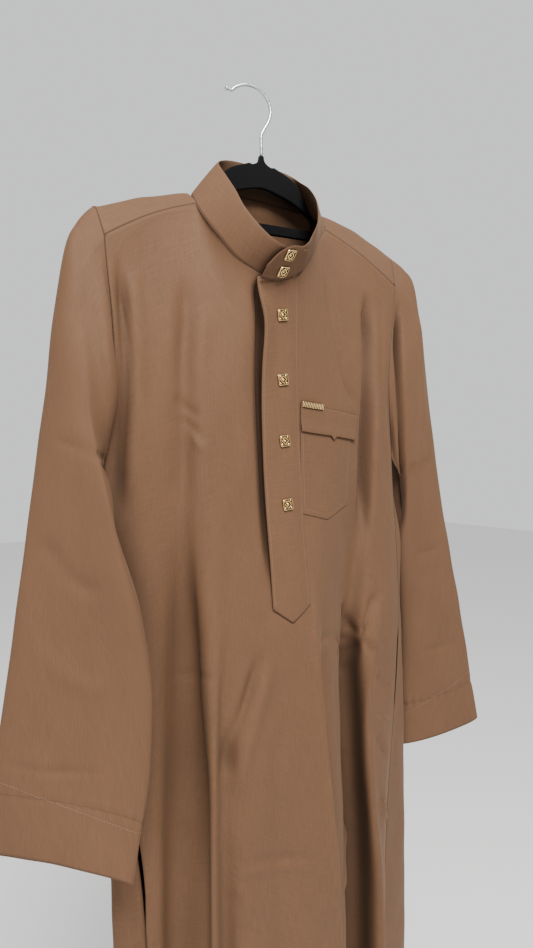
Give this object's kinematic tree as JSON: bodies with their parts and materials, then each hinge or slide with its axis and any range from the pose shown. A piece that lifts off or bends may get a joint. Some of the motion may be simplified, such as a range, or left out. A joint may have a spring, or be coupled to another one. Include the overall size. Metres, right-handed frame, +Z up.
{
  "type": "thobe on a hanger",
  "caption": "Ankle-length long-sleeved shirt dress with a stand collar, half-length button placket and chest pocket, hanging on a slim hanger with a wire hook.",
  "frame": {"origin": "underside of the hook's wire at the top of its arc, where it bears on a rod or peg", "axes": "+Z up, +X to the wearer's left along the shoulders, +Y behind the back"},
  "size_m": [0.6758, 0.1355, 1.5835],
  "materials": {
    "suiting": "fine woven suiting with a soft sheen, brown",
    "gilt_metal": "gilt, polished",
    "velvet_flock": "short flocked pile, black",
    "chrome_wire": "polished plating"
  },
  "bodies": {
    "root": {"front": "suiting", "back": "suiting", "yoke": "suiting", "sleeve_right": "suiting", "sleeve_left": "suiting", "collar": "suiting", "placket": "suiting", "chest_pocket": "suiting", "chest_pocket_band": "suiting", "pocket_trim": "gilt_metal", "button_1": "gilt_metal", "button_2": "gilt_metal", "button_3": "gilt_metal", "button_4": "gilt_metal", "collar_button_1": "gilt_metal", "collar_button_2": "gilt_metal", "hanger": "velvet_flock", "hanger_hook": "chrome_wire", "hanger_hook_ball": "chrome_wire"}
  },
  "joints": []
}
